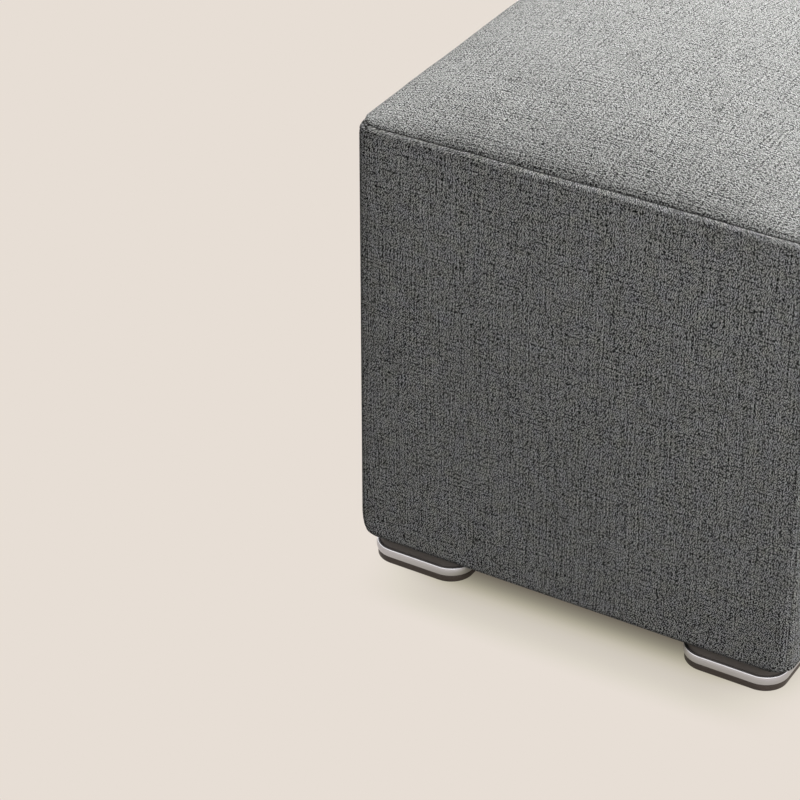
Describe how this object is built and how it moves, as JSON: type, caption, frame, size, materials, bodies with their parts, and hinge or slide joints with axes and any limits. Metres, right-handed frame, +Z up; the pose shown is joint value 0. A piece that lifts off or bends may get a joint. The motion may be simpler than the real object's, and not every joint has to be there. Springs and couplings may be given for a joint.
{
  "type": "cube pouf stool",
  "caption": "Upholstered cube pouf with a crowned seat panel, seamed side panels and four low banded feet, used as a seat or footrest.",
  "frame": {"origin": "on the floor, under the middle of the pouf", "axes": "+Z up, -Y towards the front, +X to the right as seen from the front"},
  "size_m": [0.4264, 0.4264, 0.4693],
  "materials": {
    "cloth": "grey melange weave with dark slubs",
    "foot_block": "matt, dark brown",
    "foot_band": "brushed along the band",
    "foot_sole": "satin, dark brown"
  },
  "bodies": {
    "root": {"top_panel": "cloth", "front_panel": "cloth", "right_panel": "cloth", "back_panel": "cloth", "left_panel": "cloth", "foot_block_front_left": "foot_block", "foot_block_front_right": "foot_block", "foot_block_back_left": "foot_block", "foot_block_back_right": "foot_block", "foot_band_front_left": "foot_band", "foot_band_front_right": "foot_band", "foot_band_back_left": "foot_band", "foot_band_back_right": "foot_band", "foot_sole_front_left": "foot_sole", "foot_sole_front_right": "foot_sole", "foot_sole_back_left": "foot_sole", "foot_sole_back_right": "foot_sole"}
  },
  "joints": []
}
